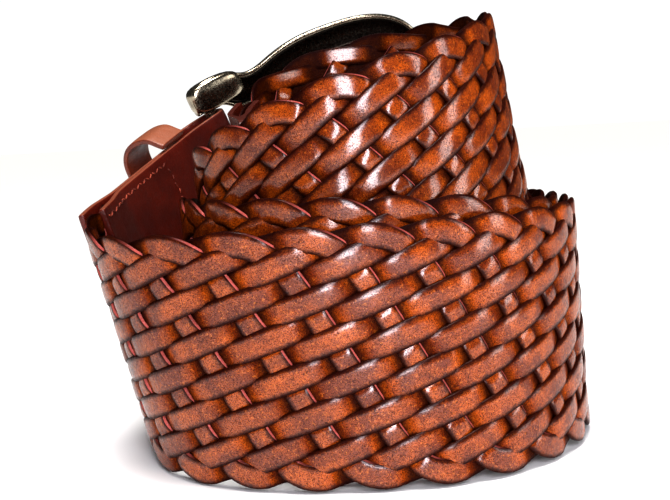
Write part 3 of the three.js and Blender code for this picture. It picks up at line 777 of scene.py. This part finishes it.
# ------------------------------------------------------------------- stitches
def make_stitches(name, runs, normal_at, radius=0.25):
    """runs: lists of (s, t) stitch middles with their direction; each stitch a short thread that sinks at its ends."""
    V, F, base, k = [], [], 0, 8
    for s, t, ds, dt, n0, sg in runs:
        w = np.linspace(-1, 1, 7)
        lift = np.where(np.abs(w) > 0.9, -0.35, 0.10 - 0.22 * w * w)
        P = strap_point(s + ds * w, n0 + sg * lift, t + dt * w)
        T = unit(np.gradient(P, axis=0))
        N = strap(np.array([s]))[3][0]
        A = unit(np.cross(np.tile(N, (7, 1)), T)); B = np.cross(T, A)
        r = radius * np.array([0.55, 0.85, 1, 1, 1, 0.85, 0.55])
        a = np.arange(k) * 2 * math.pi / k
        ring = P[:, None] + A[:, None] * (np.cos(a)[None, :] * r[:, None])[..., None] + B[:, None] * (np.sin(a)[None, :] * r[:, None])[..., None]
        V.append(ring.reshape(-1, 3))
        F += [(base + i * k + j, base + i * k + (j + 1) % k, base + (i + 1) * k + (j + 1) % k, base + (i + 1) * k + j) for i in range(6) for j in range(k)]
        F += [tuple(base + j for j in range(k))[::-1], tuple(base + 6 * k + j for j in range(k))]
        base += 7 * k
    ob = new_object(name, mesh_from(name, np.concatenate(V), F))
    outward(ob)
    return ob


def tab_face(s):
    """Height of the tab's face over the mid-surface."""
    return np.interp(s, [0, TAB_END - 20, TAB_END - 10, TAB_END], [LEATHER, LEATHER, BRAID_THICK / 2 + GAP + LEATHER, BRAID_THICK / 2 + GAP + LEATHER])


def tab_runs():
    """A zigzag row near each edge and a column across the tab past the keeper."""
    runs = []
    for sg in (1, -1):
        for edge in (1, -1):
            for i, s in enumerate(np.arange(33.0, TAB_END - 2.0, 2.1)):
                runs.append((s, edge * (HALF - 2.7), 0.86, 0.50 * (1 if i % 2 else -1), sg * float(tab_face(s)), sg))
        for i, t in enumerate(np.arange(-HALF + 4.2, HALF - 4.0, 2.3)):
            runs.append((31.6 + (0.2 if i % 2 else -0.2), t, 0.25 * (1 if i % 2 else -1), 0.82, sg * float(tab_face(31.6)), sg))
    return runs


# ------------------------------------------------------------------- build all
strands = make_strands()
mat_strand = strand_leather()
for ob in strands:
    ob.data.materials.append(mat_strand)
    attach(ob, "belt"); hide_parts("braided_band")

tab = make_tab()
mat_tab = smooth_leather("tab_leather", lin(104, 24, 4), lin(84, 16, 3), lin(56, 8, 3), 0.36, lin(150, 84, 58))
tab.data.materials.append(mat_tab)
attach(tab, "belt"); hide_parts("buckle_tab")

thread = thread_material()
st = make_stitches("tab_stitches", tab_runs(), None)
st.data.materials.append(thread)
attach(st, "belt")

mat_tip = smooth_leather("tip_leather", lin(92, 26, 8), lin(72, 18, 6), lin(44, 10, 4), 0.3, lin(84, 30, 16))
for ob in make_tip():
    ob.data.materials.append(mat_tip)
    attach(ob, "belt"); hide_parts("tip_tab")

keeper = make_keeper()
mat_keeper = smooth_leather("keeper_leather", lin(124, 54, 26), lin(98, 34, 14), lin(66, 20, 8), 0.44, lin(160, 96, 66))
keeper.data.materials.append(mat_keeper)
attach(keeper, "belt"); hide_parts("keeper_loop")

metal = buckle_metal()
buckle = make_frame()
buckle.data.materials.append(metal)
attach(buckle, "buckle"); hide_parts("buckle_frame")
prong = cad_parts["buckle_prong"]
prong.data.materials.clear()
prong.data.materials.append(metal)

# ------------------------------------------------------------ floor and light
import bmesh
bm = bmesh.new()
bmesh.ops.create_circle(bm, cap_ends=True, segments=96, radius=60.0)
me = bpy.data.meshes.new("floor")
bm.to_mesh(me); bm.free()
floor = new_object("floor", me)
gf = Graph("floor_white")
gf.bsdf.inputs["Base Color"].default_value = (0.94, 0.94, 0.94, 1)
gf.bsdf.inputs["Roughness"].default_value = 0.6
gf.bsdf.inputs["Specular IOR Level"].default_value = 0.2
floor.data.materials.append(gf.m)

scene = bpy.context.scene
scene.view_settings.view_transform = "Standard"
scene.view_settings.gamma = 0.80
world = bpy.data.worlds.new("studio")
scene.world = world
world.use_nodes = True
wt = world.node_tree
bg = wt.nodes["Background"]
bg.inputs["Color"].default_value = (1, 1, 1, 1)
lp = wt.nodes.new("ShaderNodeLightPath")
mr = wt.nodes.new("ShaderNodeMapRange")
mr.inputs["To Min"].default_value, mr.inputs["To Max"].default_value = 0.08, 1.05
wt.links.new(lp.outputs["Is Camera Ray"], mr.inputs["Value"])
wt.links.new(mr.outputs["Result"], bg.inputs["Strength"])


def area(name, loc, aim, size, power, colour=(1, 1, 1)):
    ld = bpy.data.lights.new(name, "AREA")
    ld.shape, ld.size, ld.size_y, ld.energy, ld.color = "RECTANGLE", size[0], size[1], power, colour
    ob = bpy.data.objects.new(name, ld)
    scene.collection.objects.link(ob)
    ob.location = Vector(loc)
    ob.rotation_mode = "QUATERNION"
    ob.rotation_quaternion = (Vector(aim) - Vector(loc)).to_track_quat("-Z", "Y")
    return ob


sun = bpy.data.objects.new("sky", bpy.data.lights.new("sky", "SUN"))
scene.collection.objects.link(sun)
sun.data.energy, sun.data.angle = 3.6, math.radians(20)
sun.data.color = (1.0, 0.985, 0.96)
sun.rotation_mode = "QUATERNION"
sun.rotation_quaternion = Vector((0.06, 0.13, -1.0)).to_track_quat("-Z", "Y")
area("softbox_right", (0.12, -0.98, 0.33), (0.0, -0.03, 0.06), (0.24, 0.95), 14.0, (0.95, 0.93, 1.0))
area("right_fill", (1.15, -0.50, 0.45), (0.0, 0.0, 0.05), (0.4, 0.9), 7.0)
area("left_fill", (-1.1, -0.6, 0.5), (0.0, 0.0, 0.05), (0.5, 0.9), 0.2)
